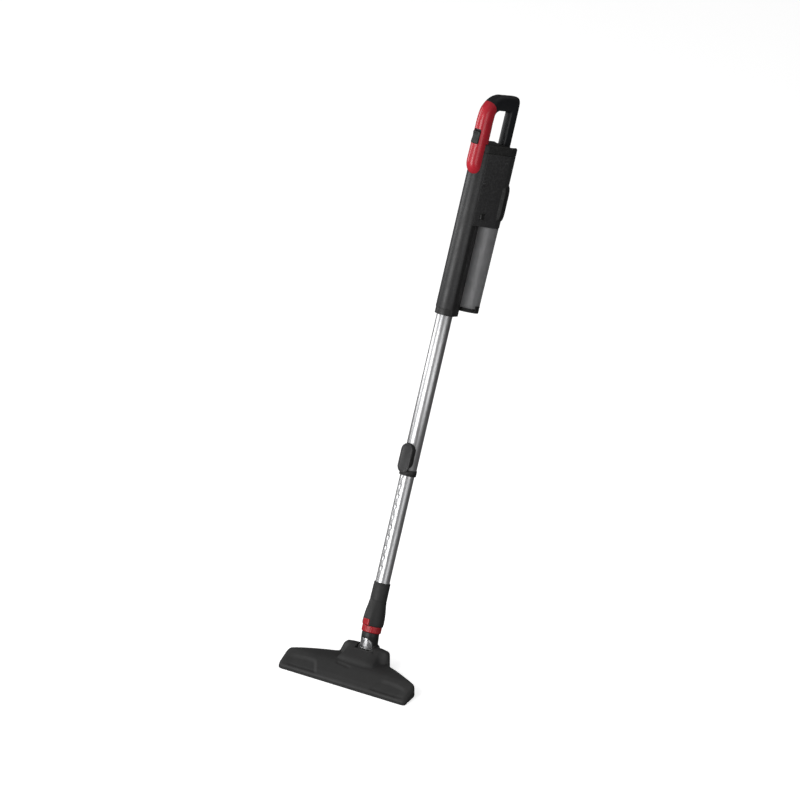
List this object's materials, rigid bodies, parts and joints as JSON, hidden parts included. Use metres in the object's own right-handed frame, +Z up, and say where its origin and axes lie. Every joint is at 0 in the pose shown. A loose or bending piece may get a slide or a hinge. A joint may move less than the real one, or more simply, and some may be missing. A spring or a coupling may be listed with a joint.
{
  "type": "cordless stick vacuum",
  "caption": "Light cordless stick vacuum with loop handle, clear dust cup, telescopic metal tube and wide swivelling floor head.",
  "frame": {"origin": "on the floor under the floor head, on the glide rib of the sole", "axes": "+Z up, X across the floor head, the head's front towards -Y"},
  "size_m": [0.294, 0.6797, 1.0515],
  "materials": {
    "graphite_shell": "satin moulded",
    "black_shell": "satin moulded",
    "loop_black": "fine grained",
    "red_grip": "soft sheen",
    "red_plastic": "glossy",
    "switch_black": "matte",
    "smoked_clear": "smoked clear",
    "tube_metal": "satin",
    "head_plastic": "satin moulded",
    "rubber": "matte",
    "bristle": "bristle",
    "lint_red": "short pile",
    "inner_plastic": "moulded",
    "filter_paper": "pleated paper",
    "steel": "turned",
    "cell_wrap": "shrink wrap",
    "board_green": "solder mask",
    "silver_plate": "satin"
  },
  "bodies": {
    "main_body": {"front_shell": "graphite_shell", "rear_spine": "black_shell", "motor_housing": "graphite_shell", "top_band": "black_shell", "handle_loop": "loop_black", "grip_cover": "red_grip", "exhaust_grille": "black_shell", "tube_socket": "black_shell", "intake_duct": "inner_plastic", "motor_mount": "rubber", "motor_can": "steel", "cell_holder": "inner_plastic", "battery_cells": "cell_wrap", "control_board": "board_green", "charge_socket": "black_shell", "body_screws": "steel", "switch_module": "inner_plastic", "upper_tube": "tube_metal", "tube_end_ring": "black_shell", "button_base": "black_shell", "lock_spring": "steel", "latch_spring": "steel"},
    "switch": {"power_switch": "switch_black"},
    "latch": {"cup_latch": "black_shell"},
    "rotor": {"rotor": "steel"},
    "cup": {"dust_cup": "smoked_clear", "cup_seal": "rubber", "lid_pin": "steel"},
    "lid": {"cup_lid": "black_shell", "lid_seal": "rubber"},
    "filter": {"filter_cage": "inner_plastic", "filter_mesh": "steel", "filter_element": "filter_paper"},
    "slider": {"tube_button": "graphite_shell"},
    "pin": {"lock_pin": "steel"},
    "inner_tube": {"lower_tube": "tube_metal", "guide_sleeve": "inner_plastic"},
    "cuff": {"neck_cuff": "head_plastic", "swivel_ring": "red_plastic", "release_spring": "steel"},
    "release": {"release_button": "red_plastic"},
    "neck": {"neck_elbow": "black_shell", "elbow_seal": "rubber", "tilt_pins": "steel", "badge_plate": "silver_plate"},
    "head": {"head_cover": "head_plastic", "sole_plate": "black_shell", "hinge_clamp": "black_shell", "front_lip": "rubber", "brush_front": "bristle", "brush_rear": "bristle", "lint_strips": "lint_red", "inner_duct": "inner_plastic", "wheel_axles": "steel", "head_screws": "steel"},
    "wheel_left": {"wheel_left": "rubber"},
    "wheel_right": {"wheel_right": "rubber"}
  },
  "joints": [
    {"name": "switch_slide", "type": "slide", "parent": "main_body", "child": "switch", "axis": [0, 0.4493, 0.8934], "range_m": [0, 0.004]},
    {"name": "latch_push", "type": "slide", "parent": "main_body", "child": "latch", "axis": [-0.9833, 0.1628, -0.0819], "range_m": [0, 0.0025], "stiffness_N_per_m": 400, "springref_m": -0.001, "deforming": ["latch_spring"]},
    {"name": "rotor_spin", "type": "hinge", "parent": "main_body", "child": "rotor", "pos_m": [0.01066, 0.51252, 0.80709], "axis": [0, 0.4493, 0.8934], "continuous": true},
    {"name": "cup_drop", "type": "slide", "parent": "main_body", "child": "cup", "axis": [0, -0.4493, -0.8934], "range_m": [0, 0.108]},
    {"name": "lid_hinge", "type": "hinge", "parent": "cup", "child": "lid", "pos_m": [-0.02139, 0.43125, 0.63227], "axis": [0.1822, 0.8784, -0.4418], "range_deg": [0, 100]},
    {"name": "filter_pull", "type": "slide", "parent": "main_body", "child": "filter", "axis": [0, -0.4493, -0.8934], "range_m": [0, 0.012]},
    {"name": "button_slide", "type": "slide", "parent": "main_body", "child": "slider", "axis": [0, 0.4493, 0.8934], "range_m": [0, 0.006], "stiffness_N_per_m": 300, "springref_m": -0.002, "deforming": ["lock_spring"]},
    {"name": "pin_lift", "type": "slide", "parent": "main_body", "child": "pin", "axis": [-0.1822, -0.8784, 0.4418], "range_m": [0, 0.0024]},
    {"name": "tube_telescope", "type": "slide", "parent": "main_body", "child": "inner_tube", "axis": [0, 0.4493, 0.8934], "range_m": [0, 0.19]},
    {"name": "neck_pull", "type": "slide", "parent": "inner_tube", "child": "cuff", "axis": [0, -0.4493, -0.8934], "range_m": [0, 0.07]},
    {"name": "release_push", "type": "slide", "parent": "cuff", "child": "release", "axis": [0.1822, 0.8784, -0.4418], "range_m": [0, 0.0018], "stiffness_N_per_m": 500, "springref_m": -0.001, "deforming": ["release_spring"]},
    {"name": "neck_swivel", "type": "hinge", "parent": "cuff", "child": "neck", "pos_m": [0, 0.05675, 0.0289], "axis": [0, 0.4493, 0.8934], "range_deg": [-80, 80]},
    {"name": "neck_tilt", "type": "hinge", "parent": "neck", "child": "head", "pos_m": [0, 0.064, 0.0265], "axis": [1, 0, 0], "range_deg": [-18, 58]},
    {"name": "wheel_left_spin", "type": "hinge", "parent": "head", "child": "wheel_left", "pos_m": [-0.066, 0.03, 0.009], "axis": [1, 0, 0], "continuous": true},
    {"name": "wheel_right_spin", "type": "hinge", "parent": "head", "child": "wheel_right", "pos_m": [0.066, 0.03, 0.009], "axis": [1, 0, 0], "continuous": true}
  ],
  "couplings": [
    {"joint": "pin_lift", "follows": "button_slide", "ratio": 0.4}
  ]
}
